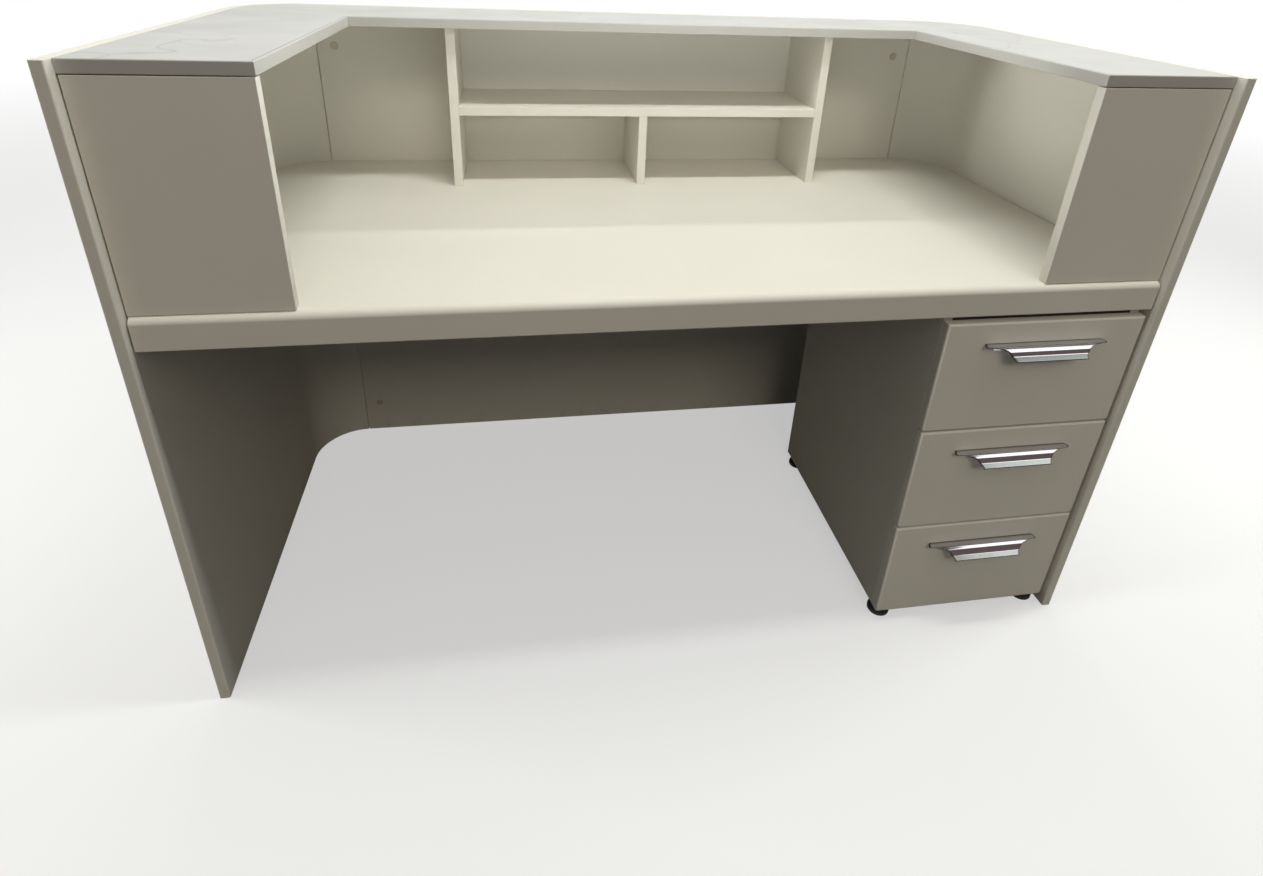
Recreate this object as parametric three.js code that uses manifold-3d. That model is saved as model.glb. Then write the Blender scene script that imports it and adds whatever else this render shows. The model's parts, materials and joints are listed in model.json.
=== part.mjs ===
// Reception desk, seen from the staff side: a shell of two bent end panels and a flat centre panel,
// a worktop with a rounded front edge, a raised counter carried on wing panels, a pigeonhole
// organiser under the counter and a pedestal of three drawers with chromed ledge pulls.
// Millimetres, +Z up, +X to the right of the person at the desk, +Y towards the visitor.
import * as THREE from "three";
import { RoundedBoxGeometry } from "three/addons/geometries/RoundedBoxGeometry.js";
import { mergeVertices } from "three/addons/utils/BufferGeometryUtils.js";
import Module from "manifold-3d";

// Driving dimensions. Depths run from the front edges of the end panels.
const WIDTH = 1650;
const DEPTH = 800;
const HEIGHT = 1100;
const BOARD = 18;
const CORNER_RADIUS = 115; // inside of the bent corners
const PANEL_ARRIS = 3; // rounding of the end panels' front edges
const SOFT = 1; // softened arris of a banded board
const GAP = 0.3; // between pieces that touch
const OVERRUN = 1; // of a cutting shape past what it cuts

const WORKTOP_HEIGHT = 760;
const WORKTOP_SLAB = 28;
const WORKTOP_EDGE = 53; // height of the built-up front edge
const WORKTOP_EDGE_DEPTH = 40;
const WORKTOP_SETBACK = 9;
const WORKTOP_PLAY = 1; // to the end panels and the centre panel
const NOSE_RADIUS = 8;
const HEEL_RADIUS = 2;

const WING_SETBACK = 16;
const WING_INNER_X = 588;
const COUNTER_THICK = 18;
const COUNTER_ARRIS = 2;
const COUNTER_FRONT_X = 587; // inner edge of a counter wing at its front
const COUNTER_BACK_X = 577; // and where it turns along the back
const COUNTER_BACK_Y = 561;

const ORGANISER_WIDTH = 806;
const ORGANISER_FRONT = 581;
const SHELF_UNDERSIDE = 910;

const COVER_RADIUS = 8.5; // of the caps over the fittings that hold the centre panel to the end panels
const COVER_RISE = 1.2;
const COVER_BEVEL = 0.8;
const COVER_SIDES = 24;
const COVER_X = 655;
const COVER_HEIGHTS = [["lower", 86], ["upper", 1017]];

const CLEAT = 30; // square section of the battens under the worktop
const SIDE_CLEAT_SPAN = [80, 640];
const REAR_CLEAT_LENGTH = 1200;

const PEDESTAL_WIDTH = 374;
const PEDESTAL_SIDE_GAP = 6; // to the right end panel
const PEDESTAL_BACK = 531;
const PEDESTAL_BASE = 25;
const PEDESTAL_TOP = 700;
const CARCASS_BOARD = 16;
const FOOT_RADIUS = 22;
const FOOT_NECK_RADIUS = 11;
const FOOT_RIM = [2, 9]; // heights where the foot's rim starts and ends
const FOOT_SHOULDER = 14;
const FOOT_SIDES = 20;
const FOOT_INSET = 22; // from the pedestal's sides and back
const FOOT_FRONT_INSET = 11; // the front feet reach under the drawers' fronts

const DRAWER_NAMES = ["bottom", "middle", "top"];
const DRAWER_PITCH = 225;
const FRONT_SETBACK = 9.5;
const FRONT_HEIGHT = 222;
const TOP_FRONT_TRIM = 4; // the top drawer's front is lower, under the worktop
const FRONT_ARRIS = 4;
const FRONT_CLEARANCE = 0.5; // between a shut front and the carcass
const BOX_BOARD = 12;
const BOX_HEIGHT = 150;
const BOX_LIFT = 25; // above the foot of the drawer's front
const BOX_LENGTH = 450;
const BASE_THICK = 4;
const BASE_ARRIS = 0.4;
const BASE_LIFT = 8; // of the base in its grooves, above the foot of the box
const GROOVE_DEPTH = 5;
const GROOVE_PLAY = 0.6;

const RUNNER_SPACE = 13; // between the carcass and the drawer box
const RUNNER_LENGTH = 450;
const RUNNER_STEEL = 1.2;
const RAIL_HEIGHT = 45;
const SLIDE_HEIGHT = 36;
const RUNNER_DEPTH = 9.4;

const PULL_DROP = 43; // from the top of the drawer's front to the ledge
const PULL_METAL = 2.5;
const PULL_ROOT = 5; // flat strip of the ledge next to the drawer
const PULL_BEND_RADIUS = 20;
const PULL_BEND_END = THREE.MathUtils.degToRad(68);
const PULL_LIP_SLOPE = THREE.MathUtils.degToRad(33);
const PULL_LIP_LENGTH = 10.5;
const PULL_FLANGE_HEIGHT = 13;
const PULL_FLANGE_HALF = 94;
const PULL_ROOT_HALF = 111; // half lengths, along the drawer
const PULL_TIP_HALF = 115.5;
const PULL_LIP_HALF = 68.5;
const PULL_TIP_REACH = 11.5;
const PULL_SCOOP_REACH = 34;

// Places worked out from them.
const INNER_X = WIDTH / 2 - BOARD;
const INNER_Y = DEPTH - BOARD;
const BEND_X = INNER_X - CORNER_RADIUS;
const BEND_Y = INNER_Y - CORNER_RADIUS;
const COUNTER_UNDERSIDE = HEIGHT - COUNTER_THICK;
const PEDESTAL_X = INNER_X - PEDESTAL_SIDE_GAP - PEDESTAL_WIDTH / 2;
const CARCASS_FRONT = FRONT_SETBACK + BOARD + FRONT_CLEARANCE;
const CARCASS_INNER_X = PEDESTAL_WIDTH / 2 - CARCASS_BOARD;
const BOX_X = CARCASS_INNER_X - RUNNER_SPACE;
const RUNNER_Z = BOX_LIFT + BOX_HEIGHT / 2;
const PULL_BEND_OUT = PULL_ROOT + PULL_BEND_RADIUS * Math.sin(PULL_BEND_END);
const PULL_BEND_DOWN = PULL_BEND_RADIUS * (1 - Math.cos(PULL_BEND_END));
const PULL_LIP_OUT = PULL_BEND_OUT + PULL_LIP_LENGTH * Math.cos(PULL_LIP_SLOPE);
const PULL_LIP_DOWN = PULL_BEND_DOWN + PULL_LIP_LENGTH * Math.sin(PULL_LIP_SLOPE);
const PULL_RIM = PULL_METAL / 2; // radius of the lip's rounded rim
const PULL_REACH = GAP + PULL_LIP_OUT + PULL_RIM * (1 - Math.sin(PULL_LIP_SLOPE));
const MIDDLE_Y = (DEPTH + FRONT_SETBACK - PULL_REACH) / 2; // of the whole desk, pulls included

// Finishes.
const finish = (color, roughness, metalness) => () =>
  new THREE.MeshStandardMaterial({ color, roughness, metalness });
const laminate = finish(0xe6e3d8, 0.45, 0);
const counterLaminate = finish(0xcbcbc6, 0.3, 0);
const carcassLaminate = finish(0xdcd5c5, 0.5, 0);
const bareWood = finish(0xb99a6b, 0.7, 0);
const hardboard = finish(0xcfc6b2, 0.7, 0);
const zincedSteel = finish(0xb8bcc0, 0.35, 1);
const chrome = finish(0xd4d3d6, 0.08, 1);
const blackPlastic = finish(0x17181a, 0.6, 0);
const coverPlastic = finish(0xc5bfb1, 0.55, 0);

// Solids.
const wasm = await Module();
wasm.setup();

function solidOf(geometry) {
  const bare = new THREE.BufferGeometry();
  const plain = geometry.index ? geometry.toNonIndexed() : geometry;
  bare.setAttribute("position", plain.getAttribute("position"));
  const merged = mergeVertices(bare, 1e-3);
  return new wasm.Manifold(
    new wasm.Mesh({
      numProp: 3,
      vertProperties: merged.getAttribute("position").array,
      triVerts: new Uint32Array(merged.index.array),
    }),
  );
}

function geometryOf(solid) {
  const mesh = solid.getMesh();
  const geometry = new THREE.BufferGeometry();
  geometry.setAttribute("position", new THREE.BufferAttribute(mesh.vertProperties, 3));
  geometry.setIndex(new THREE.BufferAttribute(mesh.triVerts, 1));
  const faceted = geometry.toNonIndexed();
  faceted.computeVertexNormals();
  return faceted;
}

const common = (a, b) => geometryOf(solidOf(a).intersect(solidOf(b)));
const joined = (a, b) => geometryOf(solidOf(a).add(solidOf(b)));

// A plan outline raised along Z from low to high, its upper and lower edges eased by soft.
function raised(shape, low, high, soft = 0, curveSegments = 6) {
  const geometry = new THREE.ExtrudeGeometry(shape, {
    depth: high - low - 2 * soft,
    curveSegments,
    bevelEnabled: soft > 0,
    bevelThickness: soft,
    bevelSize: soft,
    bevelOffset: -soft,
    bevelSegments: 2,
  });
  return geometry.translate(0, 0, low + soft);
}

// A section drawn in (y, z) and run along X, centred.
function alongX(section, length, curveSegments = 6) {
  const geometry = new THREE.ExtrudeGeometry(section, { depth: length, curveSegments, bevelEnabled: false });
  const axes = [new THREE.Vector3(0, 1, 0), new THREE.Vector3(0, 0, 1), new THREE.Vector3(1, 0, 0)];
  geometry.translate(0, 0, -length / 2);
  return geometry.applyMatrix4(new THREE.Matrix4().makeBasis(...axes));
}

// A section drawn in (x, z) and run along Y from the plane y = 0.
function alongY(section, length) {
  const geometry = new THREE.ExtrudeGeometry(section, { depth: length, bevelEnabled: false });
  return geometry.rotateX(Math.PI / 2).translate(0, length, 0);
}

function outline(points) {
  return new THREE.Shape(points.map(([x, y]) => new THREE.Vector2(x, y)));
}

function piece(group, name, geometry, material, mirrored = false) {
  const mesh = new THREE.Mesh(geometry, material());
  mesh.name = name;
  mesh.scale.x = mirrored ? -1 : 1;
  group.add(mesh);
  return mesh;
}

// A flat board between three pairs of limits, its arrises eased.
function board(group, name, material, [x0, x1], [y0, y1], [z0, z1], soft = SOFT) {
  const geometry = new RoundedBoxGeometry(x1 - x0, y1 - y0, z1 - z0, 1, soft);
  const mesh = piece(group, name, geometry, material);
  mesh.position.set((x0 + x1) / 2, (y0 + y1) / 2, (z0 + z1) / 2);
  return mesh;
}

// The plan of the room inside the shell, with rounded back corners, kept clear of it by play.
function insidePlan(front, play) {
  const x = INNER_X - play;
  const y = INNER_Y - play;
  const radius = CORNER_RADIUS - play;
  const shape = new THREE.Shape();
  shape.moveTo(-x, front);
  shape.lineTo(x, front);
  shape.lineTo(x, y - radius);
  shape.absarc(x - radius, y - radius, radius, 0, Math.PI / 2);
  shape.lineTo(-x + radius, y);
  shape.absarc(-x + radius, y - radius, radius, Math.PI / 2, Math.PI);
  return shape;
}

// Shell: each end panel runs back and bends round the corner to meet the flat centre panel.
function endPanelPlan() {
  const outer = WIDTH / 2;
  const arris = PANEL_ARRIS;
  const shape = new THREE.Shape();
  shape.moveTo(INNER_X, arris);
  shape.absarc(INNER_X + arris, arris, arris, Math.PI, 1.5 * Math.PI);
  shape.lineTo(outer - arris, 0);
  shape.absarc(outer - arris, arris, arris, 1.5 * Math.PI, 2 * Math.PI);
  shape.lineTo(outer, BEND_Y);
  shape.absarc(BEND_X, BEND_Y, CORNER_RADIUS + BOARD, 0, Math.PI / 2);
  shape.lineTo(BEND_X, INNER_Y);
  shape.absarc(BEND_X, BEND_Y, CORNER_RADIUS, Math.PI / 2, 0, true);
  return shape;
}

// A low round cap that faces the person at the desk.
function coverGeometry() {
  const profile = outline([
    [0, 0],
    [COVER_RADIUS, 0],
    [COVER_RADIUS, COVER_RISE - COVER_BEVEL],
    [COVER_RADIUS - COVER_BEVEL, COVER_RISE],
    [0, COVER_RISE],
  ]);
  return new THREE.LatheGeometry(profile.getPoints(), COVER_SIDES).rotateX(Math.PI);
}

function shell(group) {
  const bent = () => raised(endPanelPlan(), 0, HEIGHT, SOFT);
  piece(group, "right_end_panel", bent(), laminate);
  piece(group, "left_end_panel", bent(), laminate, true);
  const half = BEND_X - GAP;
  board(group, "centre_front_panel", laminate, [-half, half], [INNER_Y, DEPTH], [0, HEIGHT]);

  for (const [level, z] of COVER_HEIGHTS) {
    for (const [side, x] of [["left", -COVER_X], ["right", COVER_X]]) {
      const cover = piece(group, `fitting_cover_${level}_${side}`, coverGeometry(), coverPlastic);
      cover.position.set(x, INNER_Y - GAP, z);
    }
  }
}

// Worktop: a slab with a built-up front edge, its top arris rounded and its back corners curved.
function worktopSection() {
  const front = WORKTOP_SETBACK;
  const foot = WORKTOP_HEIGHT - WORKTOP_EDGE;
  const slabFoot = WORKTOP_HEIGHT - WORKTOP_SLAB;
  const shape = new THREE.Shape();
  shape.moveTo(front + HEEL_RADIUS, foot);
  shape.lineTo(front + WORKTOP_EDGE_DEPTH, foot);
  shape.lineTo(front + WORKTOP_EDGE_DEPTH, slabFoot);
  shape.lineTo(INNER_Y, slabFoot);
  shape.lineTo(INNER_Y, WORKTOP_HEIGHT);
  shape.lineTo(front + NOSE_RADIUS, WORKTOP_HEIGHT);
  const noseZ = WORKTOP_HEIGHT - NOSE_RADIUS;
  shape.absarc(front + NOSE_RADIUS, noseZ, NOSE_RADIUS, Math.PI / 2, Math.PI);
  shape.lineTo(front, foot + HEEL_RADIUS);
  shape.absarc(front + HEEL_RADIUS, foot + HEEL_RADIUS, HEEL_RADIUS, Math.PI, 1.5 * Math.PI);
  return shape;
}

function worktop(group) {
  const slab = alongX(worktopSection(), WIDTH, 4);
  const plan = raised(insidePlan(0, WORKTOP_PLAY), 0, HEIGHT);
  piece(group, "worktop", common(slab, plan), laminate);

  const top = WORKTOP_HEIGHT - WORKTOP_SLAB - GAP;
  const heights = [top - CLEAT, top];
  const wall = INNER_X - GAP;
  board(group, "worktop_cleat_left", bareWood, [-wall, CLEAT - wall], SIDE_CLEAT_SPAN, heights);
  board(group, "worktop_cleat_right", bareWood, [wall - CLEAT, wall], SIDE_CLEAT_SPAN, heights);
  const reach = REAR_CLEAT_LENGTH / 2;
  const back = INNER_Y - GAP;
  board(group, "worktop_cleat_rear", bareWood, [-reach, reach], [back - CLEAT, back], heights);
}

// Counter: a U in three pieces, mitred at the inner corners, let in flush with the shell's top
// and carried at its front ends by two wing panels that stand on the worktop.
function counterPlan() {
  const shape = insidePlan(WING_SETBACK, GAP);
  const u = new THREE.Shape();
  const [frontLeft, ...rest] = shape.getPoints(6);
  u.moveTo(frontLeft.x, frontLeft.y);
  u.lineTo(-COUNTER_FRONT_X, WING_SETBACK);
  u.lineTo(-COUNTER_BACK_X, COUNTER_BACK_Y);
  u.lineTo(COUNTER_BACK_X, COUNTER_BACK_Y);
  u.lineTo(COUNTER_FRONT_X, WING_SETBACK);
  rest.forEach(({ x, y }) => u.lineTo(x, y));
  return u;
}

function counter(group) {
  const whole = () => raised(counterPlan(), COUNTER_UNDERSIDE, HEIGHT, COUNTER_ARRIS);
  // Each mitre runs through an inner corner, towards the corner of the shell.
  const slope = (INNER_Y - COUNTER_BACK_Y) / (INNER_X - COUNTER_BACK_X);
  const mitreY = (x) => COUNTER_BACK_Y + (x - COUNTER_BACK_X) * slope;
  const near = WIDTH / 8; // the mitres' cuts start between the wings and end outside the shell
  const far = WIDTH;
  const side = outline([[near, 0], [far, 0], [far, mitreY(far)], [near, mitreY(near)]]);
  const lift = 1.5 * GAP;
  const middle = outline([
    [-near, mitreY(near) + lift],
    [near, mitreY(near) + lift],
    [far, mitreY(far) + lift],
    [-far, mitreY(far) + lift],
  ]);
  const sector = (shape) => raised(shape, 0, 2 * HEIGHT);
  piece(group, "counter_right", common(whole(), sector(side)), counterLaminate);
  piece(group, "counter_left", common(whole(), sector(side)), counterLaminate, true);
  piece(group, "counter_centre", common(whole(), sector(middle)), counterLaminate);

  const depths = [WING_SETBACK, WING_SETBACK + BOARD];
  const heights = [WORKTOP_HEIGHT + GAP, COUNTER_UNDERSIDE - GAP];
  const wall = INNER_X - 2 * GAP;
  board(group, "left_wing_panel", laminate, [-wall, -WING_INNER_X], depths, heights);
  board(group, "right_wing_panel", laminate, [WING_INNER_X, wall], depths, heights);
}

// Organiser: two uprights and a shelf, with a divider under the shelf.
function organiser(group) {
  const outer = ORGANISER_WIDTH / 2;
  const inner = outer - BOARD;
  const depths = [ORGANISER_FRONT, INNER_Y - GAP];
  const foot = WORKTOP_HEIGHT + GAP;
  const heights = [foot, COUNTER_UNDERSIDE - GAP];
  board(group, "organiser_left_upright", laminate, [-outer, -inner], depths, heights);
  board(group, "organiser_right_upright", laminate, [inner, outer], depths, heights);
  const between = [GAP - inner, inner - GAP];
  board(group, "organiser_shelf", laminate, between, depths, [SHELF_UNDERSIDE, SHELF_UNDERSIDE + BOARD]);
  const half = BOARD / 2;
  board(group, "organiser_divider", laminate, [-half, half], depths, [foot, SHELF_UNDERSIDE - GAP]);
}

// Pedestal carcass, in a frame at the middle of its width on the floor.
function footGeometry() {
  const top = PEDESTAL_BASE - GAP;
  const [rimLow, rimHigh] = FOOT_RIM;
  const profile = outline([
    [0, 0],
    [FOOT_RADIUS - rimLow, 0],
    [FOOT_RADIUS, rimLow],
    [FOOT_RADIUS, rimHigh],
    [FOOT_NECK_RADIUS, FOOT_SHOULDER],
    [FOOT_NECK_RADIUS, top],
    [0, top],
  ]);
  return new THREE.LatheGeometry(profile.getPoints(), FOOT_SIDES).rotateX(Math.PI / 2);
}

function pedestal(group) {
  const outer = PEDESTAL_WIDTH / 2;
  const inner = CARCASS_INNER_X;
  const depths = [CARCASS_FRONT, PEDESTAL_BACK];
  const heights = [PEDESTAL_BASE, PEDESTAL_TOP];
  board(group, "pedestal_left_side", laminate, [-outer, -inner], depths, heights);
  board(group, "pedestal_right_side", laminate, [inner, outer], depths, heights);
  const between = [GAP - inner, inner - GAP];
  const lower = [PEDESTAL_BASE, PEDESTAL_BASE + CARCASS_BOARD];
  const upper = [PEDESTAL_TOP - CARCASS_BOARD, PEDESTAL_TOP];
  board(group, "pedestal_bottom", carcassLaminate, between, depths, lower);
  board(group, "pedestal_top", carcassLaminate, between, depths, upper);
  const backDepths = [PEDESTAL_BACK - CARCASS_BOARD, PEDESTAL_BACK];
  board(group, "pedestal_back", carcassLaminate, between, backDepths, [lower[1] + GAP, upper[0] - GAP]);

  const footRows = [["front", CARCASS_FRONT + FOOT_FRONT_INSET], ["rear", PEDESTAL_BACK - FOOT_INSET]];
  for (const [along, x] of [["left", FOOT_INSET - outer], ["right", outer - FOOT_INSET]]) {
    for (const [across, y] of footRows) {
      const foot = piece(group, `pedestal_foot_${across}_${along}`, footGeometry(), blackPlastic);
      foot.position.set(x, y, 0);
    }
  }
}

// Runners: a steel rail on the carcass and a narrower slide on the drawer, nested mouth to mouth.
function channel(web, mouth, height) {
  const half = height / 2;
  const inner = half - RUNNER_STEEL;
  const face = web + Math.sign(mouth - web) * RUNNER_STEEL;
  return outline([
    [web, -half],
    [mouth, -half],
    [mouth, -inner],
    [face, -inner],
    [face, inner],
    [mouth, inner],
    [mouth, half],
    [web, half],
  ]);
}

function runnerPair(carcass, drawer, label, z) {
  const railWeb = CARCASS_INNER_X - GAP;
  const slideWeb = BOX_X + GAP;
  const rail = () => alongY(channel(railWeb, railWeb - RUNNER_DEPTH, RAIL_HEIGHT), RUNNER_LENGTH);
  const slide = () => alongY(channel(slideWeb, slideWeb + RUNNER_DEPTH, SLIDE_HEIGHT), RUNNER_LENGTH);
  for (const side of ["left", "right"]) {
    const mirrored = side === "left";
    const onCarcass = piece(carcass, `runner_rail_${label}_${side}`, rail(), zincedSteel, mirrored);
    onCarcass.position.set(0, CARCASS_FRONT, z + RUNNER_Z);
    const onDrawer = piece(drawer, `drawer_slide_${label}_${side}`, slide(), zincedSteel, mirrored);
    onDrawer.position.set(0, CARCASS_FRONT - FRONT_SETBACK, RUNNER_Z);
  }
}

// Ledge pull: a sheet that leaves the drawer flat, bends down to a flared lip with a rounded rim and
// is cut at its ends by concave scoops, on a shorter flange that is screwed to the drawer's front.
function pullSection() {
  const top = Math.PI / 2;
  const bend = [-PULL_ROOT, -PULL_BEND_RADIUS];
  const rimY = PULL_RIM * Math.sin(PULL_LIP_SLOPE) - PULL_LIP_OUT;
  const rimZ = -PULL_RIM * Math.cos(PULL_LIP_SLOPE) - PULL_LIP_DOWN;
  const heelY = PULL_METAL * Math.sin(PULL_LIP_SLOPE) - PULL_BEND_OUT;
  const heelZ = -PULL_METAL * Math.cos(PULL_LIP_SLOPE) - PULL_BEND_DOWN;
  const shape = new THREE.Shape();
  shape.moveTo(0, 0);
  shape.lineTo(-PULL_ROOT, 0);
  shape.absarc(...bend, PULL_BEND_RADIUS, top, top + PULL_BEND_END);
  shape.lineTo(-PULL_LIP_OUT, -PULL_LIP_DOWN);
  shape.absarc(rimY, rimZ, PULL_RIM, top + PULL_LIP_SLOPE, top + PULL_LIP_SLOPE + Math.PI);
  shape.lineTo(heelY, heelZ);
  shape.absarc(...bend, PULL_BEND_RADIUS - PULL_METAL, top + PULL_BEND_END, top, true);
  shape.lineTo(0, -PULL_METAL);
  return shape;
}

function pullPlan() {
  const tip = -PULL_TIP_REACH;
  const scoopLength = PULL_TIP_HALF - PULL_LIP_HALF;
  const scoopReach = PULL_SCOOP_REACH - PULL_TIP_REACH;
  const end = -PULL_LIP_OUT - PULL_METAL;
  const shape = new THREE.Shape();
  shape.moveTo(-PULL_ROOT_HALF, OVERRUN);
  shape.lineTo(-PULL_ROOT_HALF, 0);
  shape.quadraticCurveTo(-PULL_TIP_HALF, tip / 2, -PULL_TIP_HALF, tip);
  shape.absellipse(-PULL_TIP_HALF, -PULL_SCOOP_REACH, scoopLength, scoopReach, Math.PI / 2, 0, true);
  shape.lineTo(-PULL_LIP_HALF, end);
  shape.lineTo(PULL_LIP_HALF, end);
  shape.absellipse(PULL_TIP_HALF, -PULL_SCOOP_REACH, scoopLength, scoopReach, Math.PI, Math.PI / 2, true);
  shape.quadraticCurveTo(PULL_TIP_HALF, tip / 2, PULL_ROOT_HALF, 0);
  shape.lineTo(PULL_ROOT_HALF, OVERRUN);
  return shape;
}

function pullGeometry() {
  const whole = alongX(pullSection(), 2 * (PULL_TIP_HALF + OVERRUN), 5);
  const sheet = common(whole, raised(pullPlan(), -PULL_SCOOP_REACH, OVERRUN, 0, 5));
  const flange = outline([
    [-PULL_METAL, -PULL_FLANGE_HEIGHT],
    [0, -PULL_FLANGE_HEIGHT],
    [0, -PULL_METAL / 2],
    [-PULL_METAL, -PULL_METAL / 2],
  ]);
  return joined(sheet, alongX(flange, 2 * PULL_FLANGE_HALF));
}

// Drawers, each in a frame at the foot of its front's outer face, at the middle of its width.
function drawerFront(group, label) {
  const half = PEDESTAL_WIDTH / 2;
  const isTop = label === DRAWER_NAMES[DRAWER_NAMES.length - 1];
  const height = isTop ? FRONT_HEIGHT - TOP_FRONT_TRIM : FRONT_HEIGHT;
  const face = outline([[-half, 0], [half, 0], [half, height], [-half, height]]);
  const upright = raised(face, 0, BOARD, FRONT_ARRIS).rotateX(Math.PI / 2).translate(0, BOARD, 0);
  piece(group, `drawer_front_${label}`, upright, laminate);
}

function drawerSideSection() {
  const inner = BOX_X - BOX_BOARD;
  const grooveFoot = BASE_LIFT - GROOVE_PLAY / 2;
  const grooveHead = grooveFoot + BASE_THICK + GROOVE_PLAY;
  return outline([
    [inner, 0],
    [BOX_X, 0],
    [BOX_X, BOX_HEIGHT],
    [inner, BOX_HEIGHT],
    [inner, grooveHead],
    [inner + GROOVE_DEPTH, grooveHead],
    [inner + GROOVE_DEPTH, grooveFoot],
    [inner, grooveFoot],
  ]);
}

function drawer(group, label) {
  drawerFront(group, label);
  const near = BOARD + GAP;
  const far = near + BOX_LENGTH;
  for (const side of ["left", "right"]) {
    const wall = alongY(drawerSideSection(), BOX_LENGTH);
    const mesh = piece(group, `drawer_${side}_${label}`, wall, carcassLaminate, side === "left");
    mesh.position.set(0, near, BOX_LIFT);
  }
  const inner = BOX_X - BOX_BOARD;
  const baseFoot = BOX_LIFT + BASE_LIFT;
  const baseHead = baseFoot + BASE_THICK;
  const baseHalf = inner + GROOVE_DEPTH - GAP;
  const baseSpan = [-baseHalf, baseHalf];
  board(group, `drawer_base_${label}`, hardboard, baseSpan, [near, far], [baseFoot, baseHead], BASE_ARRIS);
  const backHeights = [baseHead + GAP, BOX_LIFT + BOX_HEIGHT];
  const backSpan = [GAP - inner, inner - GAP];
  board(group, `drawer_back_${label}`, carcassLaminate, backSpan, [far - BOX_BOARD, far], backHeights);
  const pull = piece(group, `drawer_pull_${label}`, pullGeometry(), chrome);
  pull.position.set(0, -GAP, FRONT_HEIGHT - PULL_DROP);
}

// The desk stands on the floor at z = 0, with the origin under the middle of its whole box.
const desk = new THREE.Group();
const body = new THREE.Group();
body.position.y = -MIDDLE_Y;
desk.add(body);
shell(body);
worktop(body);
counter(body);
organiser(body);

const carcass = new THREE.Group();
carcass.position.x = PEDESTAL_X;
body.add(carcass);
pedestal(carcass);
DRAWER_NAMES.forEach((label, level) => {
  const foot = PEDESTAL_BASE + level * DRAWER_PITCH;
  const box = new THREE.Group();
  box.position.set(0, FRONT_SETBACK, foot);
  carcass.add(box);
  drawer(box, label);
  runnerPair(carcass, box, label, foot);
});

export default desk;
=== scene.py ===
"""Fine surfaces, finishes and a studio for a reception desk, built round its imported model."""

import json
import math

import bpy
import numpy as np
from bpy.props import FloatProperty, FloatVectorProperty, PointerProperty
from mathutils import Matrix, Vector


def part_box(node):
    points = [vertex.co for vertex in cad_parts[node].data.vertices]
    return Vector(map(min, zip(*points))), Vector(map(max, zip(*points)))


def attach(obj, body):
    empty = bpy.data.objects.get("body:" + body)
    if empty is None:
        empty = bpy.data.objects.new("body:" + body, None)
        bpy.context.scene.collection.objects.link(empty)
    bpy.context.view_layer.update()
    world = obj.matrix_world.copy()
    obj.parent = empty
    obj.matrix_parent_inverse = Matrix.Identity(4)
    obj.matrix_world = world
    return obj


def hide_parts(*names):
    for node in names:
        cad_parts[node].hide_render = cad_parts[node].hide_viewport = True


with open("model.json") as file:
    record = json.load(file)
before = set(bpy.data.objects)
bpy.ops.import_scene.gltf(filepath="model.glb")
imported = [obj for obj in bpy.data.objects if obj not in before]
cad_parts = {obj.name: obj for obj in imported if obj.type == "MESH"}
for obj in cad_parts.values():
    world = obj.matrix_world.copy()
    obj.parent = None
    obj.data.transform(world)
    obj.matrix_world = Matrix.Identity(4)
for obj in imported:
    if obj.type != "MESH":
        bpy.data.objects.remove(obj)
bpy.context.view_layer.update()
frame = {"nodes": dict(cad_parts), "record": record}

bl_info = {
    "name": "Reception desk",
    "version": (1, 0, 0),
    "blender": (4, 5, 0),
    "location": "View3D > Sidebar > Desk",
    "description": "Fine surfaces, finishes and a studio for a reception desk",
    "category": "Object",
}

LEVELS = ("bottom", "middle", "top")
SIDES = ("left", "right")

ARRIS_STEPS = 4
BEND_STEPS = 28
CORNER_STEPS = 6
TURN_STEPS = 40
SECTION_STEPS = 1200
SCOOP_STEPS = 40
PULL_COLUMNS = 13
RIM_TURN = math.radians(82)
SCREW_RINGS = 14
SHARP = math.radians(38)
# Share of painted shade on the lower edge of each drawer front
GAP_SHADE = 0.6

# Shares of a fitting cover's radius and rise, of a screw head's radius and rise, and of a cosine
COVER_ROUND = 0.7
COVER_DISH = ((0.62, 1.0), (0.56, 0.7), (0.08, 0.66))
SCREW_MIDDLE = 0.1
SCREW_RIM = 0.02
CROSS_BORDER = 0.88
CROSS_BORDER_FADE = 0.08
CROSS_CORE = 0.25
CROSS_END = 0.68
CROSS_END_FADE = 0.12
CROSS_DEPTH = 0.55

# Lengths of the studio, in metres, with those of the surround from the desk's front line
FLOOR_REACH = 60.0
FLOOR_FADE = (1.4, 7.0)
SKY_FADE = (0.17, 0.57)
SURROUND_SIDES = (-6.0, 8.0)
SURROUND_WALL = -3.8
SURROUND_FOOT = 0.05
SURROUND_BEND = 0.8
SURROUND_CEILING = 3.0
SURROUND_REAR = 2.5
FIELD_SLANT = 0.2
FIELD_RIGHT = (2.12, 2.18)
FIELD_LEFT = (1.72, 1.82)
FIELD_NEAR = (-2.30, -2.20)
FIELD_REAR = (-0.60, -0.20)

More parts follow.
